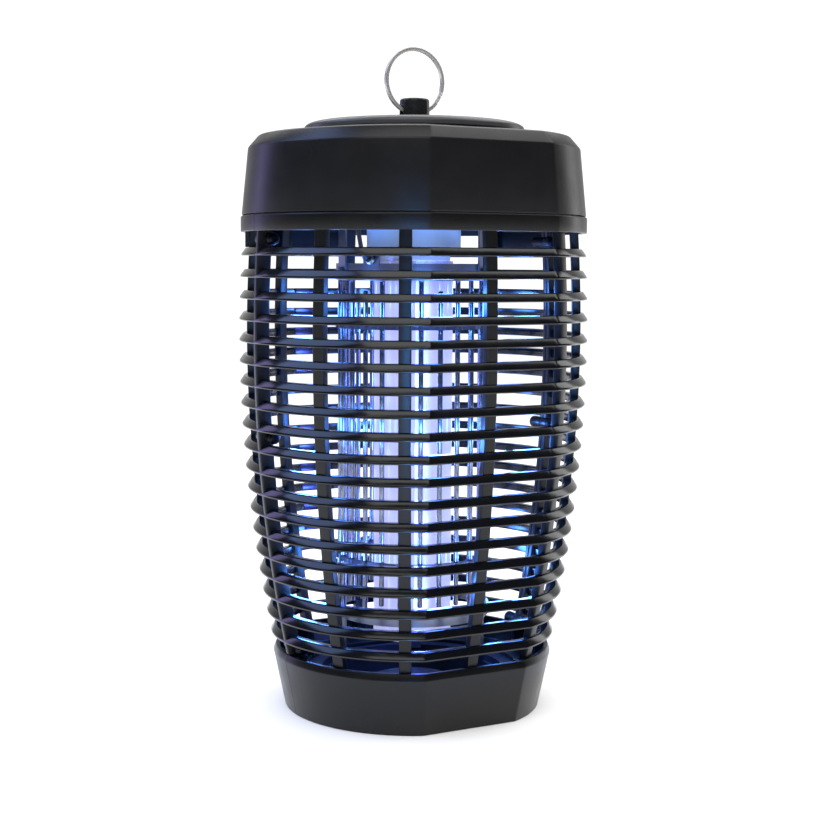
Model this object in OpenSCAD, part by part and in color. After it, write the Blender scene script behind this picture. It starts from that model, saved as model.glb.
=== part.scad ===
// Hanging electric bug zapper: a louvred lantern in two half-shells under a domed top housing,
// with a high-voltage rod grid around two ultraviolet lamps and a drop-out tray below.
// Millimetres, Z up, origin on the axis at the level of the bottom edge, front facet towards -Y.

/* [Plan shape] */
// Half the angle that each flat facet takes up, front and rear, seen from the axis
flat_half = 23.2; // [20:0.1:25]
// Gap between the front and rear half-shells
seam_gap = 0.3; // [0.1:0.1:0.5]

/* [Barrel] */
// Largest radius, over the slats
belly_r = 103.8; // [102:0.2:106]
// Height of the largest radius
belly_z = 222; // [210:1:232]
// Radius of the arc that the barrel's side follows
barrel_arc_r = 862; // [800:2:1000]

/* [Slats] */
// Number of slats
slat_count = 19; // [15:1:19]
// Distance from one slat to the next
slat_pitch = 12.5; // [12:0.1:12.5]
// Height of one slat
slat_h = 4.8; // [3.8:0.1:4.8]
// Depth of one slat, from its nose to its inner face
slat_depth = 7; // [6:0.1:8]
// Height of the topmost slat's middle
top_slat_z = 272; // [271:0.5:273]

/* [Ribs and band] */
// Width of the upright ribs behind the slats
rib_w = 7; // [6:0.5:10]
// How far the ribs' outer faces lie inside the slat noses
rib_setback = 4; // [3.5:0.1:4.5]
// Depth of the ribs, outer face to inner face
rib_depth = 5; // [5:0.5:7]
// Radius of the band at the top of the half-shells
band_r = 102.6; // [102:0.1:103]
// Height of the band
band_h = 9.5; // [9:0.1:10]
// Height of the band's top edge
band_top_z = 293; // [292.5:0.1:293]

/* [Skirt] */
// Radius of the skirt's bottom edge
skirt_foot_r = 77.1; // [76:0.1:78]
// Radius of the skirt where its bevel starts
skirt_rim_r = 84.1; // [83.5:0.1:84.5]
// Height where the bevel starts
skirt_rim_z = 33; // [32:0.5:34]
// Height of the skirt's top edge
skirt_top_z = 37; // [36.5:0.1:37.5]
// Wall thickness of the mouldings
wall = 2.5; // [2:0.1:3]

/* [Top housing] */
// Height of the housing's bottom edge
housing_z = 293.5; // [293.5:0.1:294]
// Radius of the housing's bottom edge
housing_r = 102; // [101.5:0.1:102.5]
// Radius and height of the shoulder, where the chamfer starts
shoulder_r = 98.1; // [97.5:0.1:98.5]
// Height of the shoulder
shoulder_z = 332.5; // [331:0.5:334]
// Radius at the top of the chamfer
chamfer_r = 92; // [91:0.5:93]
// Height at the top of the chamfer
chamfer_z = 339.5; // [339:0.5:340]
// Height of the seat that the top disc lies on
seat_z = 342.3; // [342:0.1:343]
// Thickness of the housing's wall
housing_wall = 3; // [2.5:0.1:3.5]

/* [Hanger] */
// Radius of the top disc
disc_r = 65; // [63:0.5:65]
// Height of the top disc
disc_h = 5.7; // [5:0.1:6]
// Diameter of the hanger post
post_d = 18; // [17:0.5:19]
// Height of the hanger post above the disc
post_h = 14.4; // [14:0.1:15]
// Diameter of the cross hole that the ring goes through
post_hole_d = 5.6; // [5.6:0.1:6]
// Outer diameter of the split ring
ring_d = 39.5; // [39:0.5:40]
// Radial width of the ring's wire
wire_w = 2.2; // [2:0.1:2.2]
// Thickness of one of the ring's two turns
wire_t = 1.13; // [1:0.01:1.15]

/* [Grid] */
// Radius on which the grid rods stand
grid_r = 43.7; // [42:0.1:45]
// Diameter of a grid rod
rod_d = 3; // [2.5:0.1:3.2]
// Number of rods in each of the two interleaved grids
rods_per_grid = 12; // [12:12:12]
// Height of the live band's lower edge
live_band_z = 255.7; // [255:0.1:257]
// Height of the live band
live_band_h = 9.8; // [8:0.1:10]
// Height of the return band's lower edge
return_band_z = 55; // [54:0.1:56]
// Height of the return band
return_band_h = 6; // [5:0.1:7]
// Thickness of the bands and their brackets
strip_t = 1.2; // [1:0.1:1.5]
// Height of the upper spacer ring's middle
upper_spacer_z = 229; // [215:1:240]
// Height of the lower spacer ring's middle
lower_spacer_z = 90; // [80:0.5:100]

/* [Lamps] */
// Diameter of the lamp tube
tube_d = 16; // [14:0.5:17]
// Distance between the two legs of a lamp
leg_gap = 25; // [22:0.5:26]
// Distance between the two lamps
lamp_gap = 19; // [18.5:0.5:20]
// Height of the lowest point of the lamps
lamp_end_z = 40; // [36:1:60]
// Radius of the shroud around the lamp holders
shroud_r = 28; // [28:0.5:30]
// Height of the shroud's lower edge
shroud_z = 275; // [272:0.5:277]

/* [Pan and tray] */
// Height of the ledge inside the skirt that the pan is screwed to
ledge_z = 20; // [19:0.5:21]
// Radius of the pan
pan_r = 71; // [70.5:0.5:71]
// Radius of the opening that the tray fills
pan_hole_r = 55.5; // [54:0.1:56]
// Running gap between the tray and the pan
tray_gap = 0.3; // [0.2:0.1:0.5]
// Height of the tray's underside above the ground
tray_z = 2.2; // [2:0.1:3]

/* [Electrical parts] */
// Thickness of the chassis plate
plate_t = 3; // [2.5:0.1:3]
// Height of the circuit board's underside above the plate
board_lift = 8; // [8:0.5:10]
// Bore of the cord gland
gland_bore_d = 7.2; // [6.5:0.1:8]
// Height of the cord gland's axis
gland_z = 312; // [310:0.5:314]

/* [Hidden] */
$fn = 96;

flat = cos(flat_half);
long = 4 * belly_r;

// Heights that several parts share
band_z = band_top_z - band_h;
flange_t = 2.5;
flange_z = band_top_z - flange_t;
flange_r = 92;
plate_z = band_top_z;
plate_r = housing_r - housing_wall - 0.5;
plate_top = plate_z + plate_t;
roof_z = seat_z - housing_wall;
disc_top = seat_z + disc_h;
post_hole_z = disc_top + 7.3;
ring_r = (ring_d - wire_w) / 2;
ring_z = disc_top + 24.6;
ledge_top = ledge_z + wall;
ledge_r = 64;
pan_t = 2.5;
pan_z = ledge_z - pan_t;
collar_z = 4.5;
tray_r = pan_hole_r - tray_gap;
tray_flange_r = 62;
tray_flange_t = 2;
tray_top = 16;
board_z = plate_top + board_lift;
board_t = 1.6;
board_y = -41;
board_w = 92;
board_d = 54;

// Places around the axis, in degrees from the front facet's middle, positive towards +X
rib_angles = [-60, -31, 0, 31, 60];
flange_screw_angles = [-43, 43, 137, 223];
housing_screw_angles = [-65, 65, 115, 245];
base_screw_angles = [-45, 45, 135, 225];
hanger_angles = [-90, 30, 150];
leg_angles = [-90, 30, 150];
shroud_screw_angles = [0, 120, 240];
terminal_angle = -60;
return_lead_angle = 150;

flange_screw_r = 94;
housing_screw_r = 84;
base_screw_r = 67.5;
foot_screw_r = 60.5;
hanger_foot_r = 56;
shroud_screw_r = 31.5;
band_in_r = grid_r + rod_d / 2;
band_out_r = band_in_r + strip_t;
strip_w = 9;
foot_reach = 63;

// Self-tapping screws, 3.5 mm, and 3 mm machine screws on the grid
screw_d = 3.5;
head_d = 6.6;
head_h = 2.4;
fine_d = 3;
fine_head_d = 5.6;
fine_head_h = 2;
play = 0.2;
lug_r = 3.6;
front_lug = 7;
rear_lug = 11;
// The gaps between slats that the shell screws sit in, counted down from the band
lug_gaps = [0, 9, slat_count];

function slat_z(k) = top_slat_z - k * slat_pitch;
function gap_z(k) = (k == 0 ? (band_z + slat_z(0) + slat_h / 2) / 2
    : k == slat_count ? (skirt_top_z + slat_z(k - 1) - slat_h / 2) / 2
    : (slat_z(k - 1) + slat_z(k)) / 2);
function nose_r(z) = belly_r - barrel_arc_r + sqrt(pow(barrel_arc_r, 2) - pow(z - belly_z, 2));
function face_r(z) = nose_r(z) - rib_setback;
function back_r(z) = face_r(z) - rib_depth;
function root_r(k) = nose_r(slat_z(k)) - slat_depth;
function lug_at(k) = nose_r(gap_z(k)) - 8;
function skirt_r(z) = skirt_foot_r + (skirt_rim_r - skirt_foot_r) * z / skirt_rim_z;
function around(r, angle, z) = [r * sin(angle), -r * cos(angle), z];
function narrowed(points, factor) = [for (p = points) [p[0] * factor, p[1]]];
function reversed(points) = [for (i = [len(points) - 1:-1:0]) points[i]];
// A quarter of an ellipse from its side, at [r, z], up to its top, run of width w and rise of h
function quarter(r, z, w, h, steps = 6) =
    [for (i = [0:steps]) [r - w + w * cos(90 * i / steps), z + h * sin(90 * i / steps)]];

// ---- shared shapes ----

// Puts its children at an angle around the axis: +X of the child points outwards
module at_angle(angle) {
    rotate([0, 0, angle - 90]) children();
}

// Solid of revolution whose front and rear are cut flat; outline is [radius, z] from bottom to top
module flat_sided(outline) {
    last = len(outline) - 1;
    side = narrowed(outline, flat);
    intersection() {
        rotate_extrude() polygon(concat([[0, outline[0][1]]], outline, [[0, outline[last][1]]]));
        rotate([90, 0, 90]) linear_extrude(long, center = true)
            polygon(concat(side, reversed(narrowed(side, -1))));
    }
}

// The same, hollowed: hollow is the outline of the space inside
module flat_ring(outline, hollow) {
    difference() {
        flat_sided(outline);
        flat_sided(hollow);
    }
}

// Keeps what lies in front of the split plane
module front_half() {
    intersection() {
        children();
        translate([-long / 2, -long - seam_gap / 2, -long]) cube([long, long, 3 * long]);
    }
}

module ring(r_out, r_in, z, h) {
    translate([0, 0, z]) difference() {
        cylinder(h, r = r_out);
        translate([0, 0, -1]) cylinder(h + 2, r = r_in);
    }
}

module rounded_block(w, d, h, r) {
    linear_extrude(h) {
        square([w - 2 * r, d], center = true);
        square([w, d - 2 * r], center = true);
        for (x = [-1, 1], y = [-1, 1])
            translate([x * (w / 2 - r), y * (d / 2 - r)]) circle(r);
    }
}

// Pan-head screw with a cross slot: the underside of the head is at the origin, the shank points down
module pan_screw(length, d = screw_d, head = head_d, thick = head_h) {
    difference() {
        union() {
            translate([0, 0, -length]) cylinder(length, d = d);
            rotate_extrude()
                polygon(concat([[0, 0], [head / 2, 0]], quarter(head / 2, thick * 0.4, head / 4, thick * 0.6),
                    [[0, thick]]));
        }
        for (turn = [0, 90])
            rotate([0, 0, turn]) translate([-head * 0.3, -0.35, thick - 0.9]) cube([head * 0.6, 0.7, 2]);
    }
}

// A round wire with eight sides along a route; lean is a direction that no stretch runs along
module wire(route, d, lean = [0.31, 0.23, 0.17]) {
    last = len(route) - 1;
    sides = 8;
    function unit(v) = v / norm(v);
    function heading(i) = unit(
        (i > 0 ? unit(route[i] - route[i - 1]) : [0, 0, 0])
        + (i < last ? unit(route[i + 1] - route[i]) : [0, 0, 0]));
    function loop_point(i, j) = let (t = heading(i), n = unit(cross(t, lean)), b = cross(t, n))
        route[i] + d / 2 * (n * cos(360 * j / sides) + b * sin(360 * j / sides));
    polyhedron(
        points = [for (i = [0:last], j = [0:sides - 1]) loop_point(i, j)],
        faces = concat(
            [[for (j = [0:sides - 1]) sides - 1 - j]],
            [for (i = [0:last - 1], j = [0:sides - 1]) let (a = i * sides, k = (j + 1) % sides)
                each [[a + j, a + k, a + sides + k], [a + j, a + sides + k, a + sides + j]]],
            [[for (j = [0:sides - 1]) last * sides + j]]));
}

// ---- top ----

housing_outline = [
    [housing_r, housing_z], [shoulder_r, shoulder_z], [chamfer_r, chamfer_z], [disc_r + 1, seat_z]];
housing_hollow = [
    [housing_r - housing_wall, housing_z - 1], [housing_r - housing_wall, housing_z],
    [shoulder_r - housing_wall, shoulder_z - 1], [chamfer_r - 1.5, chamfer_z - housing_wall],
    [disc_r + 1, roof_z]];

module top_housing() {
    color("#26282a") difference() {
        union() {
            flat_ring(housing_outline, housing_hollow);
            for (a = housing_screw_angles)
                translate(around(housing_screw_r, a, plate_top))
                    cylinder(chamfer_z - housing_wall - plate_top + 1, r = 4.5);
            // Upright pad on the rear wall for the cord gland
            intersection() {
                translate([0, housing_r * flat - 7, gland_z]) rotate([-90, 0, 0]) cylinder(6.6, r = 13);
                translate([-long / 2, 0, plate_top + 1]) cube([long, long, long]);
            }
        }
        for (a = housing_screw_angles)
            translate(around(housing_screw_r, a, plate_top - 1)) cylinder(14, d = screw_d + 0.1);
        translate([0, 0, roof_z - 1]) cylinder(10, d = 10.4);
        translate([0, housing_r, gland_z]) rotate([90, 0, 0]) cylinder(30, d = 14.2);
    }
}

module top_disc() {
    color("#232425") difference() {
        rotate_extrude() polygon(concat(
            [[0, seat_z], [disc_r - 0.6, seat_z], [disc_r, seat_z + 0.5]],
            quarter(disc_r, seat_z + 2.2, 10, disc_h - 2.2, 8), [[0, disc_top]]));
        translate([0, 0, seat_z - 1]) cylinder(disc_h + 2, d = 10.4);
    }
}

module hanger_post() {
    stud_end = roof_z - 12.5;
    color("#1f2021") difference() {
        union() {
            rotate_extrude() polygon(concat(
                [[0, disc_top], [post_d / 2, disc_top]],
                quarter(post_d / 2 - 0.3, disc_top + post_h - 1.6, 1.6, 1.6), [[0, disc_top + post_h]]));
            translate([0, 0, stud_end]) cylinder(disc_top - stud_end + 1, d = 10);
        }
        translate([-post_d, 0, post_hole_z]) rotate([0, 90, 0]) cylinder(2 * post_d, d = post_hole_d);
    }
}

module hanger_washer() {
    color("silver") ring(12, 5.2, roof_z - 2, 2);
}

module hanger_nut() {
    color("silver") translate([0, 0, roof_z - 10]) difference() {
        cylinder(8, d = 17 / cos(30), $fn = 6);
        translate([0, 0, -1]) cylinder(10, d = 10.1);
    }
}

// Split ring: two flat turns of wire, side by side
module hanger_ring() {
    edge = 0.3;
    color("silver") translate([0, 0, ring_z]) rotate([90, 0, 0]) rotate_extrude()
        for (side = [-1, 1]) translate([ring_r, side * wire_t / 2]) polygon([
            [-wire_w / 2, edge - wire_t / 2], [edge - wire_w / 2, -wire_t / 2],
            [wire_w / 2 - edge, -wire_t / 2], [wire_w / 2, edge - wire_t / 2],
            [wire_w / 2, wire_t / 2 - edge], [wire_w / 2 - edge, wire_t / 2],
            [edge - wire_w / 2, wire_t / 2], [-wire_w / 2, wire_t / 2 - edge]]);
}

module chassis_plate() {
    color("#2b2d30") difference() {
        union() {
            flat_sided([[plate_r, plate_z], [plate_r, plate_top]]);
            for (a = flange_screw_angles)
                translate(around(flange_screw_r, a, plate_z)) cylinder(plate_t + 7, r = 3.6);
        }
        for (a = flange_screw_angles)
            translate(around(flange_screw_r, a, plate_z - 1)) cylinder(plate_t + 6.5, d = screw_d + 0.1);
        for (a = housing_screw_angles)
            translate(around(housing_screw_r, a, plate_z - 1)) cylinder(plate_t + 2, d = screw_d + 2 * play);
        for (a = hanger_angles)
            translate(around(hanger_foot_r, a, plate_z - 1)) cylinder(plate_t + 2, d = fine_d + 0.1);
        for (a = shroud_screw_angles)
            translate(around(shroud_screw_r, a, plate_z - 1)) cylinder(plate_t + 2, d = fine_d + 0.1);
        for (side = [-1, 1])
            translate([side * 6, side * lamp_gap / 2, plate_z - 1]) cylinder(plate_t + 2, d = 5);
        translate(around(60, terminal_angle, plate_z - 1)) cylinder(plate_t + 2, d = 5);
        translate(around(84, return_lead_angle, plate_z - 1)) cylinder(plate_t + 2, d = 5);
    }
}

// ---- half-shells ----

// Outline of a rib, from its foot in the ledge round: notched where the slats cross it, with sloping
// shoulders where it runs into the skirt and the band; set_in is how far it lies inside the slat noses
function rib_outline(set_in) = concat(
    [[back_r(skirt_top_z), ledge_z + 0.8], [skirt_r(ledge_z) - 1, ledge_z + 0.8],
        [skirt_rim_r - 1, skirt_rim_z], [skirt_rim_r - 3.1, skirt_top_z - 0.5],
        [nose_r(skirt_top_z) - set_in, skirt_top_z + 2]],
    [for (i = [0:slat_count - 1]) let (k = slat_count - 1 - i, low = slat_z(k) - slat_h / 2)
        each [[nose_r(low) - set_in, low], [root_r(k), low],
            [root_r(k), low + slat_h], [nose_r(low + slat_h) - set_in, low + slat_h]]],
    [[nose_r(band_z) - set_in, band_z - 0.7], [band_r - 1.5, band_z + 1.2], [band_r - 1.5, flange_z + 1],
        [back_r(flange_z), flange_z + 1]],
    [for (z = [240:-40:40]) [back_r(z), z]]);

module rib(angle, set_in = rib_setback) {
    half_angle = asin(rib_w / 2 / belly_r);
    if (abs(angle) < flat_half)
        rotate([90, 0, -90]) linear_extrude(rib_w, center = true)
            polygon(narrowed(rib_outline(set_in), flat));
    else
        rotate([0, 0, angle - 90 - half_angle]) rotate_extrude(angle = 2 * half_angle)
            polygon(rib_outline(set_in));
}

module band_and_skirt() {
    flat_ring(concat([[band_r - 0.5, band_z], [band_r, band_z + 0.5]],
            quarter(band_r, band_top_z - 1.3, 1.3, 1.3, 4)),
        [[band_r - 3, band_z - 1], [band_r - 3, flange_z], [flange_r, flange_z], [flange_r, band_top_z + 1]]);
    flat_ring([[skirt_foot_r, 0], [skirt_rim_r, skirt_rim_z], [skirt_rim_r - 1.5, skirt_top_z]],
        [[skirt_foot_r - wall, -1], [skirt_r(ledge_z) - wall, ledge_z], [ledge_r, ledge_z],
            [ledge_r, ledge_top], [skirt_r(ledge_top) - wall, ledge_top],
            [skirt_rim_r - wall, skirt_rim_z], [skirt_rim_r - 1.5 - wall, skirt_top_z + 1]]);
}

// Deeper stretch of the band, which closes the gap over the topmost slat from one rib to another
module gap_guard(start, stop) {
    intersection() {
        flat_ring([[100.8, top_slat_z + slat_h / 2 + 0.4], [100.8, band_z + 1.5]],
            [[98.4, top_slat_z], [98.4, band_z + 3]]);
        translate([0, 0, top_slat_z]) linear_extrude(20) polygon(concat([[0, 0]],
            [for (i = [0:4]) let (p = around(150, start + (stop - start) * i / 4, 0)) [p[0], p[1]]]));
    }
}

// One half of the cage without its slats; lug is how far its screw lugs reach from the seam, seam_set_in
// how far its seam ribs lie inside the slat noses, and guards the stretches where the band is deeper
module half_frame(lug, bore, seam_set_in, guards = []) {
    difference() {
        union() {
            front_half() {
                band_and_skirt();
                rib(-90, seam_set_in);
                rib(90, seam_set_in);
            }
            for (g = guards) gap_guard(g[0], g[1]);
            for (a = rib_angles) rib(a);
            for (a = [-45, 45]) translate(around(base_screw_r, a, ledge_z + 0.5)) cylinder(9.5, r = 4);
            for (k = lug_gaps, side = [-1, 1])
                translate([side * lug_at(k), -seam_gap / 2, gap_z(k)]) rotate([90, 0, 0])
                    cylinder(lug, r = lug_r);
        }
        for (k = lug_gaps, side = [-1, 1])
            translate([side * lug_at(k), 1, gap_z(k)]) rotate([90, 0, 0]) cylinder(lug + 2, d = bore);
        for (a = [-43, 43])
            translate(around(flange_screw_r, a, flange_z - 1)) cylinder(flange_t + 2, d = screw_d + 2 * play);
        for (a = [-45, 45])
            translate(around(base_screw_r, a, ledge_z - 1)) cylinder(9, d = screw_d + 0.1);
    }
}

module front_frame() {
    color("#1b1c1e") half_frame(front_lug, screw_d + 2 * play, 0.4);
}

module rear_frame() {
    color("#1b1c1e") rotate([0, 0, 180])
        half_frame(rear_lug, screw_d + 0.1, rib_setback, [[-88.9, -60.5], [0.5, 60.5]]);
}

// Half of one slat: a louvre blade, proudest low down and laid back towards its top edge
module half_slat(k) {
    z = slat_z(k);
    nose = nose_r(z);
    low = z - slat_h / 2;
    high = z + slat_h / 2;
    front_half() flat_ring(
        [[nose - 0.4, low], [nose, low + 0.5], [nose - 0.1, low + 1.3], [nose - 2.4, high - 0.3],
            [nose - 2.9, high]],
        [[root_r(k), low - 1], [root_r(k), high + 1]]);
}

module front_slats() {
    color("#17181b") for (k = [0:slat_count - 1]) half_slat(k);
}

module rear_slats() {
    color("#17181b") rotate([0, 0, 180]) for (k = [0:slat_count - 1]) half_slat(k);
}

// ---- lamps ----

lamp_top_z = 267;
socket_z = 281;

module lamp_shroud() {
    color("#3a4a78") difference() {
        union() {
            ring(shroud_r, shroud_r - 2, shroud_z, plate_z - shroud_z);
            ring(shroud_r + 7, shroud_r - 2, plate_z - 2, 2);
        }
        for (a = shroud_screw_angles)
            translate(around(shroud_screw_r, a, plate_z - 3)) cylinder(4, d = fine_d + 2 * play);
    }
}

module lamp_socket(side) {
    color("white") translate([0, side * lamp_gap / 2, 0]) difference() {
        translate([0, 0, socket_z]) rounded_block(34, 17.6, plate_z - socket_z, 3);
        translate([side * 6, 0, socket_z + 6]) cylinder(plate_z, d = 4.4);
    }
}

module lamp_cap(side) {
    color("whitesmoke") translate([0, side * lamp_gap / 2, lamp_top_z])
        rounded_block(34, 17.6, socket_z - lamp_top_z, 5);
}

// Two glass legs with softly rounded tips, joined by a short bridge a little above them
module uv_lamp(side) {
    tip = 2.5;
    color("#d0d4f0") translate([0, side * lamp_gap / 2, lamp_end_z]) {
        for (x = [-1, 1]) translate([x * leg_gap / 2, 0, 0]) rotate_extrude() polygon(concat([[0, 0]],
            [for (i = [0:4]) [tube_d / 2 - tip + tip * sin(90 * i / 4), tip - tip * cos(90 * i / 4)]],
            [[tube_d / 2, lamp_top_z - lamp_end_z], [0, lamp_top_z - lamp_end_z]]));
        translate([-leg_gap / 2, 0, 14]) rotate([0, 90, 0]) cylinder(leg_gap, d = 7);
    }
}

module lamp_socket_a() { lamp_socket(-1); }
module lamp_socket_b() { lamp_socket(1); }
module lamp_cap_a() { lamp_cap(-1); }
module lamp_cap_b() { lamp_cap(1); }
module uv_lamp_a() { uv_lamp(-1); }
module uv_lamp_b() { uv_lamp(1); }

// ---- grid ----

rod_step = 360 / rods_per_grid;
live_rod_z = return_band_z + return_band_h + 5;
live_rod_top = live_band_z + live_band_h - 1;
return_rod_top = live_band_z - 5.7;

module grid_rods(offset_angle, low, high) {
    for (i = [0:rods_per_grid - 1])
        translate(around(grid_r, offset_angle + i * rod_step, low)) cylinder(high - low, d = rod_d, $fn = 32);
}

module live_grid_rods() {
    color("silver") grid_rods(7.5, live_rod_z, live_rod_top);
}

module return_grid_rods() {
    color("silver") grid_rods(22.5, return_band_z, return_rod_top);
}

module strip_screw_holes(angles, z) {
    for (a = angles)
        at_angle(a) translate([grid_r, 0, z]) rotate([0, 90, 0]) cylinder(8, d = fine_d + 0.1);
}

live_screw_z = live_band_z + 5;
return_screw_z = return_band_z + 3;
tab_top = live_band_z + live_band_h + 6;

module live_grid_ring() {
    color("gray") difference() {
        union() {
            ring(band_out_r, band_in_r, live_band_z, live_band_h);
            // Upright tab that the live lead is screwed to
            at_angle(terminal_angle) translate([band_in_r, -5.5, live_band_z + live_band_h - 2])
                cube([strip_t, 11, tab_top - live_band_z - live_band_h + 2]);
        }
        strip_screw_holes(hanger_angles, live_screw_z);
        strip_screw_holes([terminal_angle], tab_top - 4);
    }
}

module return_grid_ring() {
    color("gray") difference() {
        ring(band_out_r, band_in_r, return_band_z, return_band_h);
        strip_screw_holes(leg_angles, return_screw_z);
    }
}

// Insulating ring with a boss around every rod
module grid_spacer(z) {
    height = 3;
    translate([0, 0, z - height / 2]) difference() {
        union() {
            ring(grid_r + 1.3, grid_r - 1.3, 0, height);
            for (i = [0:2 * rods_per_grid - 1])
                translate(around(grid_r, 7.5 + i * rod_step / 2, 0)) cylinder(height, r = 2.9);
        }
        for (i = [0:2 * rods_per_grid - 1])
            translate(around(grid_r, 7.5 + i * rod_step / 2, -1)) cylinder(height + 2, d = rod_d + 0.1);
    }
}

module upper_grid_spacer() {
    color("#2a2c44") grid_spacer(upper_spacer_z);
}

module lower_grid_spacer() {
    color("#2a2c44") grid_spacer(lower_spacer_z);
}

// Angle brackets from the plate down to the live band
module grid_hangers() {
    color("gray") for (a = hanger_angles) at_angle(a) difference() {
        union() {
            translate([band_out_r, -strip_w / 2, live_band_z + 0.5])
                cube([strip_t, strip_w, plate_z - live_band_z - 0.5]);
            translate([band_out_r, -strip_w / 2, plate_z - strip_t])
                cube([foot_reach - band_out_r - 3, strip_w, strip_t]);
        }
        translate([grid_r, 0, live_screw_z]) rotate([0, 90, 0]) cylinder(8, d = fine_d + 0.1);
        translate([hanger_foot_r, 0, plate_z - 3]) cylinder(4, d = fine_d + 0.1);
    }
}

// Angle brackets from the return band down to the pan
module grid_legs() {
    color("gray") for (a = leg_angles) at_angle(a) difference() {
        union() {
            translate([band_out_r, -strip_w / 2, ledge_z])
                cube([strip_t, strip_w, return_band_z + return_band_h - ledge_z]);
            translate([band_out_r, -strip_w / 2, ledge_z])
                cube([foot_reach - band_out_r, strip_w, strip_t]);
        }
        translate([grid_r, 0, return_screw_z]) rotate([0, 90, 0]) cylinder(8, d = fine_d + 0.1);
        translate([foot_screw_r, 0, ledge_z - 1]) cylinder(4, d = fine_d + 0.1);
    }
}

module fine_screw(length) {
    pan_screw(length, fine_d, fine_head_d, fine_head_h);
}

module grid_screws() {
    outer = band_out_r + strip_t;
    color("silver") {
        for (a = hanger_angles) at_angle(a) {
            translate([outer, 0, live_screw_z]) rotate([0, 90, 0]) fine_screw(4.5);
            translate([hanger_foot_r, 0, plate_z - strip_t]) rotate([180, 0, 0]) fine_screw(4);
        }
        for (a = leg_angles) at_angle(a) {
            translate([outer, 0, return_screw_z]) rotate([0, 90, 0]) fine_screw(4.5);
            translate([foot_screw_r, 0, ledge_z + strip_t]) fine_screw(6);
        }
        at_angle(terminal_angle) translate([band_out_r + 0.8, 0, tab_top - 4]) rotate([0, 90, 0])
            fine_screw(4);
    }
}

// ---- pan and tray ----

module base_pan() {
    color("#22253a") difference() {
        union() {
            ring(pan_r, pan_hole_r, pan_z, pan_t);
            ring(pan_hole_r + 2.5, pan_hole_r, collar_z, pan_z - collar_z);
        }
        for (a = base_screw_angles)
            translate(around(base_screw_r, a, pan_z - 1)) cylinder(pan_t + 2, d = screw_d + 2 * play);
        for (a = leg_angles)
            translate(around(foot_screw_r, a, pan_z - 1)) cylinder(pan_t + 2, d = fine_d + 0.1);
    }
}

// Shallow cup with a flange below the pan's collar and a grip bar across a dish in its underside
module debris_tray() {
    dish_r = 22;
    dish_h = 9;
    color("#1c1d20") difference() {
        rotate_extrude() polygon([
            [0, tray_z], [tray_flange_r, tray_z], [tray_flange_r, tray_z + tray_flange_t],
            [tray_r, tray_z + tray_flange_t], [tray_r, tray_top], [tray_r - wall, tray_top],
            [tray_r - wall, tray_z + tray_flange_t], [dish_r + 2, tray_z + tray_flange_t],
            [dish_r + 2, tray_z + dish_h + 2], [0, tray_z + dish_h + 2]]);
        difference() {
            translate([0, 0, tray_z - 1]) cylinder(dish_h + 1, r = dish_r);
            translate([-4, -dish_r, tray_z]) cube([8, 2 * dish_r, dish_h + 1]);
        }
    }
}

// ---- fasteners ----

module base_screws() {
    color("silver") for (a = base_screw_angles)
        translate(around(base_screw_r, a, pan_z)) rotate([180, 0, 0]) pan_screw(10);
}

module shell_screws() {
    color("silver") for (k = lug_gaps, side = [-1, 1])
        translate([side * lug_at(k), -front_lug - seam_gap / 2, gap_z(k)]) rotate([90, 0, 0])
            pan_screw(front_lug + 9);
}

module flange_screws() {
    color("silver") for (a = flange_screw_angles)
        translate(around(flange_screw_r, a, flange_z)) rotate([180, 0, 0]) pan_screw(9);
}

module housing_screws() {
    color("silver") for (a = housing_screw_angles)
        translate(around(housing_screw_r, a, plate_z)) rotate([180, 0, 0]) pan_screw(14);
}

module shroud_screws() {
    color("silver") for (a = shroud_screw_angles)
        translate(around(shroud_screw_r, a, plate_z - 2)) rotate([180, 0, 0])
            pan_screw(5, fine_d, fine_head_d, fine_head_h);
}

// ---- electrical parts inside the top housing ----

board_screw_places = [for (x = [-1, 1], y = [-1, 1])
    [x * (board_w / 2 - 5), board_y + y * (board_d / 2 - 5)]];

module circuit_board() {
    color("darkgreen") difference() {
        translate([0, board_y, board_z]) rounded_block(board_w, board_d, board_t, 2);
        for (p = board_screw_places) translate([p[0], p[1], board_z - 1]) cylinder(4, d = fine_d + 2 * play);
    }
}

module board_posts() {
    color("#2b2d30") for (p = board_screw_places) translate([p[0], p[1], plate_top]) difference() {
        cylinder(board_lift, r = 3.5);
        translate([0, 0, 1]) cylinder(board_lift, d = fine_d + 0.1);
    }
}

module board_screws() {
    color("silver") for (p = board_screw_places)
        translate([p[0], p[1], board_z + board_t]) pan_screw(7, fine_d, fine_head_d, fine_head_h);
}

core_w = 32;
core_h = 22;
core_t = 12;
core_leg = 8;
window_h = 14;
transformer_at = [-20, board_y, board_z + board_t];

module transformer_core() {
    color("#4a4a4a") translate(transformer_at) difference() {
        translate([-core_w / 2, -core_t / 2, 0]) cube([core_w, core_t, core_h]);
        for (side = [-1, 1])
            translate([side * (core_w / 2 - 4 - 4) - 4, -core_t, (core_h - window_h) / 2])
                cube([8, 2 * core_t, window_h]);
    }
}

module transformer_coil() {
    color("#b8732e") translate(transformer_at + [0, 0, core_h / 2]) difference() {
        translate([0, 0, 0.3 - window_h / 2])
            rounded_block(core_leg + 15, core_t + 14, window_h - 0.6, 4);
        cube([core_leg + 0.4, core_t + 0.4, core_h], center = true);
    }
}

module hv_capacitors() {
    color("#28479a") for (i = [0:3])
        translate([12 + 16 * (i % 2), board_y - 9 + 18 * floor(i / 2), board_z + board_t])
            cylinder(20, d = 13);
}

module hv_diodes() {
    color("#161616") for (i = [0:3])
        translate([-34 + 8 * i, board_y - 22, board_z + board_t + 1.6]) rotate([0, 90, 0])
            cylinder(6, d = 3.2);
}

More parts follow.
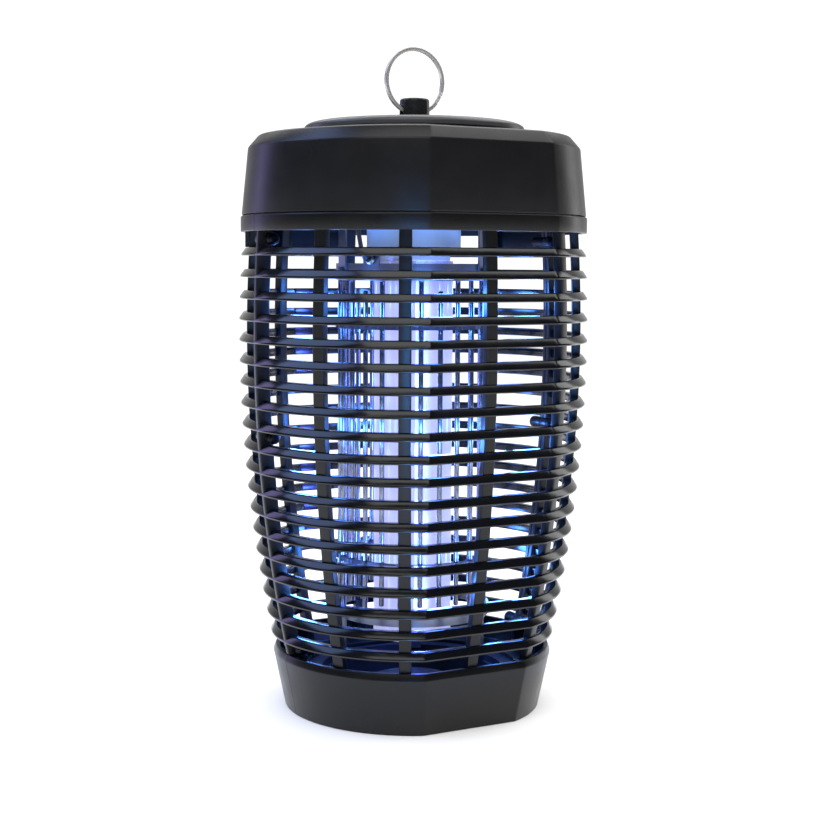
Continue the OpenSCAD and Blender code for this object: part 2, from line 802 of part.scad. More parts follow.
module fuse() {
    color("#d8e0e4") translate([10, board_y + 22, board_z + board_t + 2.6]) rotate([0, 90, 0])
        cylinder(20, d = 5.2);
}

ballast_size = [54, 24, 22];

module ballast(side) {
    color("#c9c9c6") translate([side * 47, 10, plate_top])
        rounded_block(ballast_size[0], ballast_size[1], ballast_size[2], 2);
}

module ballast_a() { ballast(-1); }
module ballast_b() { ballast(1); }

module terminal_block() {
    color("ivory") translate([0, 47, plate_top]) difference() {
        rounded_block(34, 18, 14, 1);
        for (x = [-10, 0, 10]) translate([x, 0, 6]) cylinder(10, d = 5);
    }
}

gland_seat_y = housing_r * flat - 0.4;

module cord_gland() {
    color("#131415") translate([0, gland_seat_y, gland_z]) rotate([-90, 0, 0]) difference() {
        union() {
            cylinder(1.5, d = 20);
            translate([0, 0, -13]) cylinder(14, d = 14);
        }
        translate([0, 0, -14]) cylinder(17, d = gland_bore_d);
    }
}

module gland_nut() {
    color("#131415") translate([0, gland_seat_y - 11, gland_z]) rotate([-90, 0, 0]) difference() {
        cylinder(4.2, d = 21, $fn = 6);
        translate([0, 0, -1]) cylinder(7, d = 14.1);
    }
}

// ---- leads ----

lead_d = 2.6;
lead_z = board_z - 4;

module hv_lead_live() {
    color("#17181c") wire([
        around(band_out_r + 2.85, terminal_angle, tab_top - 4), around(52.5, terminal_angle, tab_top - 4),
        around(57, terminal_angle, tab_top + 3), around(60, terminal_angle, tab_top + 13),
        around(60, terminal_angle, lead_z - 2), around(58, terminal_angle, lead_z),
        [-43, -30, lead_z], [-42, -30, lead_z + 1], [-42, -30, board_z]], lead_d);
}

// Runs from the board to the rear wall, down behind a rib, and in to the return band
module hv_lead_return() {
    a = return_lead_angle;
    hug = 1.6;
    color("black") wire(concat(
        [[33, -21, board_z], [33, -21, lead_z + 1], [32, -16, plate_top + 2.5],
            [15.5, -5, plate_top + 2.5], [15.5, 28, plate_top + 2.5], [24, 40, plate_top + 2.5],
            around(84, a, plate_top + 2.5) + [-1, -2, 0], around(84, a, plate_top), around(84, a, 286)],
        [for (z = [270:-15:60]) around(back_r(z) - hug - 1.5, a, z)],
        [around(back_r(50) - 6, a + 3, 47), around(53, 174, return_screw_z - 7),
            around(50.6, 174, return_screw_z - 4), around(band_out_r + 1.6, 174, return_screw_z)]), lead_d);
}

module lamp_leads() {
    color("white") for (side = [-1, 1]) wire([
        [side * 6, side * lamp_gap / 2, socket_z + 6.5], [side * 6, side * lamp_gap / 2, plate_top + 3],
        [side * 9, side * lamp_gap / 2 + (side < 0 ? 6 : 1), plate_top + 6],
        [side * 14, 6, plate_top + 7], [side * 20, 6, plate_top + 7]], 3.2);
}

module mains_leads() {
    high = plate_top + 9;
    color("#5a3a22") {
        for (side = [-1, 1]) wire([
            [side * 10, 38, high], [side * 10, 34, high], [side * 13.5, 20, high],
            [side * 17, 17, high], [side * 19.9, 17, high]], lead_d);
        wire([[0, 38, high], [0, 32, high], [0, -12, lead_z + 0.5], [0, -17, lead_z + 0.5],
            [0, -18.5, board_z - 2], [0, -18.5, board_z]], lead_d);
    }
}

top_housing();
top_disc();
hanger_post();
hanger_washer();
hanger_nut();
hanger_ring();
chassis_plate();
front_frame();
front_slats();
rear_frame();
rear_slats();
lamp_shroud();
lamp_socket_a();
lamp_socket_b();
lamp_cap_a();
lamp_cap_b();
uv_lamp_a();
uv_lamp_b();
live_grid_ring();
live_grid_rods();
return_grid_ring();
return_grid_rods();
upper_grid_spacer();
lower_grid_spacer();
grid_hangers();
grid_legs();
grid_screws();
base_pan();
debris_tray();
base_screws();
shell_screws();
flange_screws();
housing_screws();
shroud_screws();
circuit_board();
board_posts();
board_screws();
transformer_core();
transformer_coil();
hv_capacitors();
hv_diodes();
fuse();
ballast_a();
ballast_b();
terminal_block();
cord_gland();
gland_nut();
hv_lead_live();
hv_lead_return();
lamp_leads();
mains_leads();
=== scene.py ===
import math

import bmesh
import bpy
import numpy as np
from mathutils import Matrix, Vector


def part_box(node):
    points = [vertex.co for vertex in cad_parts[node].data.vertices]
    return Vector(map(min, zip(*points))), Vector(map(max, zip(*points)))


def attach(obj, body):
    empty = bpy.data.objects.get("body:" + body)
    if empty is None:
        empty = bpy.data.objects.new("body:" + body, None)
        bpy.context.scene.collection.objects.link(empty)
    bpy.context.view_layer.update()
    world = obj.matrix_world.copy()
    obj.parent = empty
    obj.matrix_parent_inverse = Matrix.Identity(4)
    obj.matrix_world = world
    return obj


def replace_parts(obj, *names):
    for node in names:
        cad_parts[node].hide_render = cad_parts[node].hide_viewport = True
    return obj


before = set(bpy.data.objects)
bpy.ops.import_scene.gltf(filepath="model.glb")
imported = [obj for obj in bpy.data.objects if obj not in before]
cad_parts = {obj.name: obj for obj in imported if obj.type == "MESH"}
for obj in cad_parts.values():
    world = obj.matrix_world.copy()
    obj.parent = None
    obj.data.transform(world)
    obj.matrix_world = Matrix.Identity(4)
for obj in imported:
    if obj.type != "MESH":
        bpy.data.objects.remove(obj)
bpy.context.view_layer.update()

# ---- Louvre blades ----
# Nineteen blades a side are moulded in one with each half-shell, in black ABS. They are proudest low
# down and lean back towards the top, so that rain runs off and insects find a slot to fly in at. Their
# die is polished. They follow the flat-sided barrel and stop at the two seams.


def rgb(hex_colour):
    """An sRGB hex colour as linear red, green and blue: the sRGB curve undone on each channel."""
    c = np.array([int(hex_colour[i : i + 2], 16) for i in (1, 3, 5)]) / 255
    linear = np.where(c <= 0.04045, c / 12.92, ((c + 0.055) / 1.055) ** 2.4)
    return (*linear.tolist(), 1.0)


def add(tree, kind, inputs={}, **settings):
    """Adds a node: settings are its options, and inputs gives a socket a value or another node's output."""
    n = tree.nodes.new(kind)
    for name, value in settings.items():
        setattr(n, name, value)
    for socket, value in inputs.items():
        if isinstance(value, bpy.types.NodeSocket):
            tree.links.new(value, n.inputs[socket])
        else:
            n.inputs[socket].default_value = value
    return n


MM = 0.001


def finish(name, dark, light, cloud, rough, spread, grain, relief, metal=0.0, ior=1.5, stretch=(1, 1, 1)):
    """A surface with soft clouds of two colours, cloud mm across, a roughness that drifts by spread either side
    of rough, and bumps of grain mm that stand relief mm high. Stretch below 1 draws all of it out along an axis."""
    m = bpy.data.materials.new(name)
    m.use_nodes = True
    tree = m.node_tree
    shader = tree.nodes["Principled BSDF"]
    place = add(tree, "ShaderNodeTexCoord").outputs["Object"]
    if stretch != (1, 1, 1):
        place = add(tree, "ShaderNodeMapping", {"Vector": place, "Scale": stretch}).outputs["Vector"]
    clouds = add(
        tree, "ShaderNodeTexNoise", {"Vector": place, "Scale": 1000 / cloud, "Detail": 4.0, "Distortion": 0.5}
    )
    tone = add(
        tree, "ShaderNodeMix", {"Factor": clouds.outputs["Fac"], "A": rgb(dark), "B": rgb(light)}, data_type="RGBA"
    )
    # The roughness drifts over patches a third of a cloud across.
    drift = add(tree, "ShaderNodeTexNoise", {"Vector": place, "Scale": 3000 / cloud, "Detail": 4.0, "Roughness": 0.6})
    gloss = add(
        tree,
        "ShaderNodeMapRange",
        {
            "Value": drift.outputs["Fac"], "From Min": 0.3, "From Max": 0.7,
            "To Min": rough - spread, "To Max": rough + spread,
        },
    )
    bumps = add(tree, "ShaderNodeTexNoise", {"Vector": place, "Scale": 1000 / grain, "Detail": 2.0})
    skin = add(tree, "ShaderNodeBump", {"Height": bumps.outputs["Fac"], "Strength": 1.0, "Distance": relief * MM})
    tree.links.new(tone.outputs["Result"], shader.inputs["Base Color"])
    tree.links.new(gloss.outputs["Result"], shader.inputs["Roughness"])
    tree.links.new(skin.outputs["Normal"], shader.inputs["Normal"])
    shader.inputs["Metallic"].default_value = metal
    if not metal:
        shader.inputs["IOR"].default_value = ior
    return m


def surface(name, points, faces):
    """A closed surface from an array of points and lists of faces, with its doubles merged and its faces outwards."""
    mesh = bpy.data.meshes.new(name)
    mesh.from_pydata(points.reshape(-1, 3).tolist(), [], faces)
    b = bmesh.new()
    b.from_mesh(mesh)
    bmesh.ops.remove_doubles(b, verts=b.verts, dist=1e-7)
    bmesh.ops.recalc_face_normals(b, faces=b.faces)
    b.to_mesh(mesh)
    b.free()
    piece = bpy.data.objects.new(name, mesh)
    bpy.context.collection.objects.link(piece)
    return piece


def grid_faces(rows, columns, closed=False):
    """Four-cornered faces between the rows of a grid of points whose columns go round; closed joins the last row to
    the first, and otherwise the two end rows are filled."""
    i, j = np.meshgrid(np.arange(rows if closed else rows - 1), np.arange(columns), indexing="ij")
    k, m = (i + 1) % rows, (j + 1) % columns
    faces = np.stack([i, k, k, i], -1) * columns + np.stack([j, j, m, m], -1)
    ends = [] if closed else [list(range(columns)), list(range((rows - 1) * columns, rows * columns))]
    return faces.reshape(-1, 4).tolist() + ends


def rounded(corners, radii, steps=4):
    """A closed outline with each corner C turned into the parabola (1-t)^2 A + 2t(1-t) C + t^2 B, where A and B lie
    a radius away from C along its two sides."""
    c = np.array(corners, float)
    r = np.broadcast_to(np.array(radii, float), (len(c),))[:, None]
    back, ahead = np.roll(c, 1, 0) - c, np.roll(c, -1, 0) - c
    a = c + back / np.linalg.norm(back, axis=1, keepdims=True) * r
    b = c + ahead / np.linalg.norm(ahead, axis=1, keepdims=True) * r
    t = np.linspace(0, 1, steps)[None, :, None]
    return ((1 - t) ** 2 * a[:, None] + 2 * t * (1 - t) * c[:, None] + t**2 * b[:, None]).reshape(-1, 2)


# Half the angle that each of the two flat facets takes up, in degrees.
FACET = 23.2


def plan(angle):
    """The flat-sided plan for radius 1: the smaller of 1 and facet = cos(FACET) / |cos(angle)|, blended over w so that
    the upright edges are round: 1 - w log(1 + e^((1 - facet) / w)). The cosine stays above 0.2, as sides are round."""
    facet = math.cos(math.radians(FACET)) / np.maximum(np.abs(np.cos(angle)), 0.2)
    w = 0.0013
    return 1 - w * np.logaddexp(0, (1 - facet) / w)


def turns(start, stop):
    """Angles in radians from start to stop degrees: 3 degrees apart, and 0.4 degrees apart at the facets' edges."""
    edges = np.add.outer([-360, -180, 0, 180, 360], [-FACET, FACET]).reshape(-1)
    coarse = np.arange(-180, 361, 3.0)
    coarse = coarse[np.abs(coarse[:, None] - edges).min(1) > 1.8]
    close = np.add.outer(edges, np.linspace(-1.6, 1.6, 9)).reshape(-1)
    every = np.unique(np.round(np.concatenate([coarse, close, [start, stop]]), 3))
    return np.radians(every[(every >= start) & (every <= stop)])


def arc_piece(name, outline, start, stop):
    """A closed outline of (radius, height) in mm carried round the barrel from start to stop degrees, counted from
    the front towards +X: each point is its radius times plan(angle) away from the axis."""
    angle = turns(start, stop)[:, None]
    if stop - start == 360:
        angle = angle[:-1]
    r = outline[None, :, 0] * plan(angle) * MM
    points = np.stack([r * np.sin(angle), -r * np.cos(angle), np.broadcast_to(outline[:, 1] * MM, r.shape)], -1)
    return surface(name, points, grid_faces(*r.shape, closed=stop - start == 360))


def merged(name, parts):
    """Joins the parts of one moulding, or one bag of like parts, into one object."""
    with bpy.context.temp_override(active_object=parts[0], selected_editable_objects=parts):
        bpy.ops.object.join()
    parts[0].name = parts[0].data.name = name
    return parts[0]


def fit(piece, material, slot, *nodes, body="lantern"):
    """Gives a new piece its material, smooth shading up to a 35 degree edge, its body and the nodes it stands for."""
    piece.data.materials.append(material)
    piece.data.shade_smooth()
    piece.data.set_sharp_from_angle(angle=math.radians(35))
    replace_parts(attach(piece, body), *nodes)
    return piece


# Radius and height of the barrel's widest place, and the radius of the upright arc through it, in mm.
BELLY_R, BELLY_Z, BARREL_ARC = 103.8, 222.0, 862.0
# Heights of the blades' middles from the top down, and the size of a blade.
SLAT_Z = 272 - 12.5 * np.arange(19)
SLAT_H, SLAT_DEPTH = 4.8, 7.0
# Each half stops this many degrees short of the seam's middle.
SEAM = 0.09


def nose_r(z):
    """Radius over the blades' noses: an upright circular arc of radius BARREL_ARC, widest at BELLY_Z."""
    return BELLY_R - BARREL_ARC + np.sqrt(BARREL_ARC**2 - (z - BELLY_Z) ** 2)


def blade_outline(z):
    """A blade's section: straight root and underside, a narrow nose low down, and a flat face that leans back."""
    n, low, high = nose_r(z), z - SLAT_H / 2, z + SLAT_H / 2
    corners = [(n - SLAT_DEPTH, low), (n - 0.05, low), (n - 0.05, low + 1.2), (n - 2.6, high), (n - SLAT_DEPTH, high)]
    return rounded(corners, [0.5, 0.5, 0.5, 0.6, 0.5])


# Polished ABS mirrors the lights in a sharp line along every nose, with faint waviness from the moulding.
blade_abs = finish("polished_black_abs", "#07080a", "#0e1014", 30, 0.15, 0.04, 5, 0.03, ior=1.53)
for half, turn in (("front", 0), ("rear", 180)):
    blades = [arc_piece("blade", blade_outline(z), turn - 90 + SEAM, turn + 90 - SEAM) for z in SLAT_Z]
    fit(merged(half + "_louvre_blades", blades), blade_abs, "slat_plastic", half + "_slats")

# ---- Half-shell frames ----
# The rest of each half-shell moulding: the band under the top housing with its inward flange, upright
# ribs that carry the blades, flush with them at the front half's seams, the conical skirt with the ledge
# that the pan is screwed to, and screw lugs at the seams. Two such halves are screwed front to back.

BAND = rounded(
    [(102.6, 283.5), (102.6, 293.0), (92.0, 293.0), (92.0, 290.5), (99.6, 290.5), (99.6, 283.5)],
    [0.6, 1.3, 0.4, 0.4, 0.8, 0.4],
)
SKIRT = rounded(
    [(77.1, 0.0), (84.1, 33.0), (82.6, 37.0), (80.1, 37.0), (81.6, 33.0), (79.4, 22.5), (64.0, 22.5), (64.0, 20.0),
     (78.8, 20.0), (74.6, 0.0)],
    [0.5, 0.7, 0.7, 0.5, 0.6, 1.0, 0.5, 0.5, 1.0, 0.4],
)
GUARD = rounded([(98.4, 274.8), (100.8, 274.8), (100.8, 285.0), (98.4, 285.0)], 0.3)
# Width of a rib, and how far its outer and inner faces lie inside the blades' noses.
RIB_W, RIB_SETBACK, RIB_BACK = 7.0, 4.0, 9.0
# Half the gap between the two half-shells in mm, and the same in degrees on the narrower skirt.
SEAM_GAP, SKIRT_SEAM = 0.15, 0.11
# How far inwards from the noses the screw lugs lie, and their radius.
LUG_IN, LUG_R = 8.0, 3.6


def rib(angle, left, right, set_in=RIB_SETBACK):
    """An upright bar with a round-cornered section, carried up the barrel: its outer face stands set_in mm inside
    the blades' noses, and its sides are left and right of the upright plane at angle degrees."""
    section = rounded([(left, set_in - RIB_BACK), (right, set_in - RIB_BACK), (right, 0), (left, 0)], 0.7)
    z = np.concatenate([np.linspace(24, 36, 4), np.linspace(38, 284, 50), [288.0, 291.2]])
    # Below the skirt's top edge the bar runs nearly upright, inside the skirt's wall.
    face = np.where(z < 37, 80.2 - (z - 24) * 0.02, nose_r(z) - set_in)
    a = math.radians(angle)
    face = face[:, None] * plan(np.array(a)) + section[:, 1]
    out, side = np.array([math.sin(a), -math.cos(a)]), np.array([math.cos(a), math.sin(a)])
    level = face[..., None] * out + section[:, :1] * side
    points = np.concatenate([level, np.broadcast_to(z[:, None, None], face.shape + (1,))], -1) * MM
    return surface("bar", points, grid_faces(*face.shape))


def turned(name, outline, foot=(0, 0, 0), along=(0, 0, 1), segments=48):
    """A closed outline of (radius, height) in mm turned once round the line from foot along a direction: the point at
    angle t is foot + height * along + radius * (cos t e1 + sin t e2), with e1 and e2 square to along."""
    along = np.array(along, float)
    e1 = np.cross(along, (0, 0, 1) if abs(along[2]) < 0.9 else (1, 0, 0))
    e1 /= np.linalg.norm(e1)
    t = np.linspace(0, 2 * np.pi, segments, endpoint=False)[:, None, None]
    o = np.array(outline, float)
    points = np.array(foot) + o[:, 1:] * along + o[:, :1] * (np.cos(t) * e1 + np.sin(t) * np.cross(along, e1))
    return surface(name, points * MM, grid_faces(segments, len(o), closed=True))


def sleeve(bore, outside, length, edge=0.4):
    """Outline of a plain round sleeve with softened outer edges."""
    return rounded([(bore, 0), (outside, 0), (outside, length), (bore, length)], [0.05, edge, edge, 0.05])


# Spark-eroded ABS: satin, with a fine grain. The real 0.1 mm grain is too fine to show, so it is 0.8 mm here, and
# the index is set low, because the pits of the real grain shade each other and take part of the sheen away.
shell_abs = finish("satin_black_abs", "#090909", "#111111", 45, 0.32, 0.05, 0.8, 0.02, ior=1.4)
# The screw lugs sit halfway between band and topmost blade, between two blades, and above the skirt.
lug_z = [(283.5 + 274.4) / 2, (SLAT_Z[8] + SLAT_Z[9]) / 2, (37 + 44.6) / 2]
for half, turn, lug, bore in (("front", 0, 7, 1.95), ("rear", 180, 11, 1.8)):
    outwards = -1 if turn == 0 else 1
    bars = [rib(turn + a, -RIB_W / 2, RIB_W / 2) for a in (-60, -31, 0, 31, 60)]
    flush = 0.4 if turn == 0 else RIB_SETBACK
    bars += [rib(turn - 90, SEAM_GAP, RIB_W / 2, flush), rib(turn + 90, -RIB_W / 2, -SEAM_GAP, flush)]
    for z in lug_z:
        for s in (-1, 1):
            foot = (s * (nose_r(z) - LUG_IN), outwards * SEAM_GAP, z)
            bars.append(turned("lug", sleeve(bore, LUG_R, lug), foot, (0, outwards, 0), 32))
    for a in np.radians([turn - 45, turn + 45]):
        bars.append(turned("boss", sleeve(1.8, 4, 9.5), (67.5 * np.sin(a), -67.5 * np.cos(a), 20.5), segments=32))
    # The rear band is deeper over two arcs, which close the gap above the topmost blade there.
    arcs = [(91.1, 119.5), (180.5, 240.5)] if turn else []
    guards = [arc_piece("guard", GUARD, start, stop) for start, stop in arcs]
    for part, pieces in (
        ("_shell_band", [arc_piece("band", BAND, turn - 90 + SEAM, turn + 90 - SEAM)] + guards),
        ("_shell_skirt", [arc_piece("skirt", SKIRT, turn - 90 + SKIRT_SEAM, turn + 90 - SKIRT_SEAM)]),
        ("_shell_ribs", bars),
    ):
        fit(merged(half + part, pieces), shell_abs, "shell_plastic", half + "_frame")

# ---- Grid rods ----
# Two interleaved cages of twelve drawn steel rods, spot-welded inside a band each, the live ones to the
# upper band and the return ones to the lower. The ends are tumbled round, so that no spark starts there.

# Bright drawn steel: long faint die lines up each rod stretch the reflections of the lamps.
rod_steel = finish("bright_drawn_steel", "#8a8d98", "#b2b6c2", 4, 0.22, 0.05, 0.5, 0.002, 1.0, stretch=(1, 1, 0.02))
# Radius that the rods stand on, radius of a rod, and the height of its domed ends.
GRID_R, ROD_R, DOME = 43.7, 1.5, 0.8
quarter = np.radians([0, 30, 60, 90])
for name, first, low, high in (("live", 7.5, 66.0, 264.5), ("return", 22.5, 55.0, 250.0)):
    dome, rise = ROD_R * np.cos(quarter), DOME * np.sin(quarter)
    lower = np.stack([dome[::-1], low + DOME - rise[::-1]], -1)
    side = np.concatenate([lower, np.stack([dome, high - DOME + rise], -1)])
    rods = [
        turned("rod", np.maximum(side, (1e-4, 0)), (GRID_R * math.sin(a), -GRID_R * math.cos(a), 0), segments=20)
        for a in np.radians(first + 30 * np.arange(12))
    ]
    fit(merged(name + "_rods", rods), rod_steel, "grid_steel", name + "_grid_rods")

# ---- Grid bands, brackets and spacers ----
# Each cage's rods are welded into a rolled steel band. Angle brackets hang the live band from the
# chassis plate and stand the return band on the pan. Two moulded rings keep the rods 11 mm apart.


def dress(material, *nodes):
    """Gives CAD nodes their finish: the material goes into every material slot of their objects."""
    for node in nodes:
        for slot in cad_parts[node].material_slots:
            slot.material = material


# Cold-rolled strip, zinc-plated and blued: brushed along its length, a little duller than the rods.
strip_steel = finish(
    "zinc_plated_steel_strip", "#7c8294", "#8f96a8", 9, 0.32, 0.04, 0.6, 0.002, 1.0, stretch=(1, 1, 12)
)
dress(strip_steel, "live_grid_ring", "return_grid_ring", "grid_hangers", "grid_legs")
# Glass-filled nylon in dark grey: dull, with a slightly orange-peel skin.
spacer_nylon = finish("dark_grey_nylon", "#20222e", "#2c2f40", 12, 0.48, 0.06, 0.7, 0.02, ior=1.53)
dress(spacer_nylon, "upper_grid_spacer", "lower_grid_spacer")

# ---- Ultraviolet lamps ----
# Two compact fluorescent lamps: each has two straight 16 mm glass legs, joined by a short bridge near
# their rounded tips, coated inside with a phosphor that glows lilac-white, and cemented into a white
# cap that plugs into its holder. The ends glow less.


def bent(route, radius, steps=7):
    """An open route in mm with its inner corners turned into the same parabolas as rounded() makes; the radius is cut
    down to 0.45 of the shorter side."""
    p = np.array(route, float)
    back, ahead = p[:-2] - p[1:-1], p[2:] - p[1:-1]
    lb, la = np.linalg.norm(back, axis=1, keepdims=True), np.linalg.norm(ahead, axis=1, keepdims=True)
    r = np.minimum(radius, 0.45 * np.minimum(lb, la))
    a, b, c = (p[1:-1] + back / lb * r)[:, None], (p[1:-1] + ahead / la * r)[:, None], p[1:-1][:, None]
    t = np.linspace(0, 1, steps)[None, :, None]
    arcs = (1 - t) ** 2 * a + 2 * t * (1 - t) * c + t**2 * b
    return np.concatenate([p[:1], arcs.reshape(-1, 3), p[-1:]])


def tube(name, path, radius, lean, sides=12):
    """A round tube along a path in mm: its ring at each point lies square to the path, turned by n = t x lean."""
    p = np.array(path, float)
    t = np.gradient(p, axis=0)
    t /= np.linalg.norm(t, axis=1, keepdims=True)
    n = np.cross(t, lean)
    n /= np.linalg.norm(n, axis=1, keepdims=True)
    u = np.linspace(0, 2 * np.pi, sides, endpoint=False)[None, :, None]
    ring = np.cos(u) * n[:, None] + np.sin(u) * np.cross(t, n)[:, None]
    return surface(name, (p[:, None] + radius * ring) * MM, grid_faces(len(p), sides))


def block(name, x, y, half_w, half_d, corner, low, high, edge):
    """A moulded block with upright corners of radius corner and top and bottom edges of radius edge: the same
    rounded oblong at each height, drawn in by edge (1 - cos) where the height is within an edge's radius."""
    q = np.radians([0, 30, 60, 90])
    z = np.concatenate([low + edge * (1 - np.sin(q[::-1])), high - edge * (1 - np.sin(q))])
    drawn_in = edge * (1 - np.concatenate([np.cos(q[::-1]), np.cos(q)]))[:, None]
    o = rounded([(-1, -1), (1, -1), (1, 1), (-1, 1)], 0, 2)[::2] * (half_w, half_d)
    o = rounded(o, corner * 1.3, 6)
    px = x + o[:, 0] * (1 - drawn_in / half_w)
    py = y + o[:, 1] * (1 - drawn_in / half_d)
    points = np.stack([px, py, np.broadcast_to(z[:, None], px.shape)], -1) * MM
    return surface(name, points, grid_faces(*px.shape))


# Phosphor-coated glass: glossy outside, and glowing, evenly along the legs and less at the ends.
lamp_glass = finish("phosphor_coated_glass", "#8583a4", "#9391b2", 20, 0.08, 0.02, 8, 0.002, ior=1.52)
tree = lamp_glass.node_tree
shader = tree.nodes["Principled BSDF"]
place = add(tree, "ShaderNodeTexCoord").outputs["Object"]
height = add(tree, "ShaderNodeSeparateXYZ", {"Vector": place}).outputs["Z"]
# The glow fades over the last 25 mm below the caps, where the electrodes sit.
fade = add(
    tree,
    "ShaderNodeMapRange",
    {"Value": height, "From Min": 0.242, "From Max": 0.267, "To Min": 1.0, "To Max": 0.35},
)
mottle = add(tree, "ShaderNodeTexNoise", {"Vector": place, "Scale": 1000 / 25})
uneven = add(tree, "ShaderNodeMapRange", {"Value": mottle.outputs["Fac"], "To Min": 0.85, "To Max": 1.05})
LAMP_GLOW = 0.6
glow = add(tree, "ShaderNodeMath", {0: fade.outputs["Result"], 1: uneven.outputs["Result"]}, operation="MULTIPLY")
glow = add(tree, "ShaderNodeMath", {0: glow.outputs["Value"], 1: LAMP_GLOW}, operation="MULTIPLY")
tree.links.new(glow.outputs["Value"], shader.inputs["Emission Strength"])
shader.inputs["Emission Color"].default_value = rgb("#d6d6f0")

# White glass-filled polyester, a little warm, dull and dense.
holder_polyester = finish("white_polyester", "#e2e0d8", "#efeee9", 15, 0.42, 0.05, 0.8, 0.015, ior=1.54)
# A leg's radius, the radius of its tip's edge, its lower and upper end, and half the distance between two legs.
LEG_R, TIP, LEG_LOW, LEG_HIGH, LEG_X = 8.0, 2.5, 40.0, 267.0, 12.5
tip = np.radians([0, 22.5, 45, 67.5, 90])
leg_side = np.stack([LEG_R - TIP + TIP * np.sin(tip), LEG_LOW + TIP - TIP * np.cos(tip)], -1)
leg_outline = np.concatenate(
    [[(1e-4, LEG_LOW)], leg_side, [(LEG_R, 110), (LEG_R, 180), (LEG_R, LEG_HIGH), (1e-4, LEG_HIGH)]]
)
bridge = [(1e-4, 0), (3.5, 0), (3.5, 2 * LEG_X), (1e-4, 2 * LEG_X)]
for lamp, y in (("a", -9.5), ("b", 9.5)):
    glass = [turned("leg", leg_outline, (x, y, 0), segments=40) for x in (-LEG_X, LEG_X)]
    glass.append(turned("bridge", bridge, (-LEG_X, y, LEG_LOW + 14), (1, 0, 0), 24))
    fit(merged("ultraviolet_tube_" + lamp, glass), lamp_glass, "lamp_glass", "uv_lamp_" + lamp)
    cap = block("lamp_plug_cap_" + lamp, 0, y, 17, 8.8, 5, 267, 281, 0.8)
    fit(cap, holder_polyester, "holder_plastic", "lamp_cap_" + lamp)
dress(holder_polyester, "lamp_socket_a", "lamp_socket_b")
# The shroud round the holders is a pale blue-green moulding, which glows sky blue in the lamps' light.
shroud_polyester = finish("pale_blue_polyester", "#c6dde2", "#d2e6ea", 15, 0.4, 0.05, 0.8, 0.015, ior=1.54)
dress(shroud_polyester, "lamp_shroud")

# ---- Pan and debris tray ----
# The pan is a flat moulded ring screwed under the ledge; its collar guides the tray, a shallow cup that
# is pulled down by the grip bar in its underside to empty out the dead insects. Both are black ABS,
# the pan gone bluish-grey and the tray scuffed in patches.

pan_abs = finish("moulded_black_abs_pan", "#15161d", "#20222c", 40, 0.38, 0.06, 0.9, 0.02, ior=1.53)
tray_abs = finish("scuffed_black_abs_tray", "#121316", "#1e1f23", 18, 0.42, 0.12, 1.1, 0.03, ior=1.53)
dress(pan_abs, "base_pan")
dress(tray_abs, "debris_tray")

# ---- Chassis plate and electrical parts ----
# A moulded plate closes the top housing from below and carries everything electrical: a circuit board
# on posts with the step-up transformer, capacitors, diodes and fuse of the grid's high-voltage supply,
# a ballast for each lamp, and the terminal block that the supply cord comes in to.

# Plain black ABS with visible flow clouds; nobody sees it once it is built in.
plate_abs = finish("plain_black_abs_plate", "#17181a", "#232528", 35, 0.45, 0.06, 1.0, 0.02, ior=1.53)
dress(plate_abs, "chassis_plate", "board_posts")

# Green solder mask on FR-4 laminate: copper tracks show through as a lighter square-cornered maze, 4 mm apart.
laminate = finish("green_fr4_laminate", "#123d22", "#185230", 25, 0.32, 0.05, 0.5, 0.008, ior=1.55)
tree = laminate.node_tree
tracks = add(
    tree,
    "ShaderNodeTexBrick",
    {
        "Vector": add(tree, "ShaderNodeTexCoord").outputs["Object"],
        "Color1": rgb("#164a2b"), "Color2": rgb("#12381f"), "Mortar": rgb("#3f7a3c"),
        "Scale": 1000 / 8, "Mortar Size": 0.06, "Row Height": 0.5,
    },
)
tree.links.new(tracks.outputs["Color"], tree.nodes["Principled BSDF"].inputs["Base Color"])
dress(laminate, "circuit_board")

# Varnished silicon-steel laminations: 0.5 mm sheets, drawn 1 mm apart so that they show, as fine dark lines.
core_steel = finish(
    "varnished_steel_laminations", "#3c3d40", "#55565a", 1.0, 0.4, 0.08, 1.0, 0.03, 0.7, stretch=(0.1, 1, 0.1)
)
dress(core_steel, "transformer_core")
# Enamelled copper wire wound in level turns 0.8 mm apart, seen as ribs round the coil under clear tape.
copper = finish(
    "enamelled_copper_winding", "#8a4a1c", "#b5702f", 1.0, 0.28, 0.06, 0.8, 0.06, 0.6, stretch=(0.05, 0.05, 1)
)
dress(copper, "transformer_coil")
# Shrunk PVC sleeve over an aluminium can: glossy blue, with slight wrinkles.
sleeve_pvc = finish("shrunk_blue_pvc_sleeve", "#1c3580", "#27469c", 10, 0.25, 0.06, 3, 0.03, ior=1.53)
dress(sleeve_pvc, "hv_capacitors")
# Moulded epoxy with a silver band at one end of each diode, 1.2 mm wide in every 8 mm along the row.
epoxy = finish("black_moulded_epoxy", "#101011", "#1a1a1c", 6, 0.38, 0.05, 0.5, 0.01, ior=1.55)
tree = epoxy.node_tree
along = add(tree, "ShaderNodeSeparateXYZ", {"Vector": add(tree, "ShaderNodeTexCoord").outputs["Object"]}).outputs["X"]
step = add(tree, "ShaderNodeMath", {0: along, 1: 8 * MM}, operation="FLOORED_MODULO")
near = add(tree, "ShaderNodeMath", {0: step.outputs["Value"], 1: 2.6 * MM, 2: 0.6 * MM}, operation="COMPARE")
band = add(
    tree,
    "ShaderNodeMix",
    {"Factor": near.outputs["Value"], "A": rgb("#151517"), "B": rgb("#c4c6ca")},
    data_type="RGBA",
)
tree.links.new(band.outputs["Result"], tree.nodes["Principled BSDF"].inputs["Base Color"])
dress(epoxy, "hv_diodes")
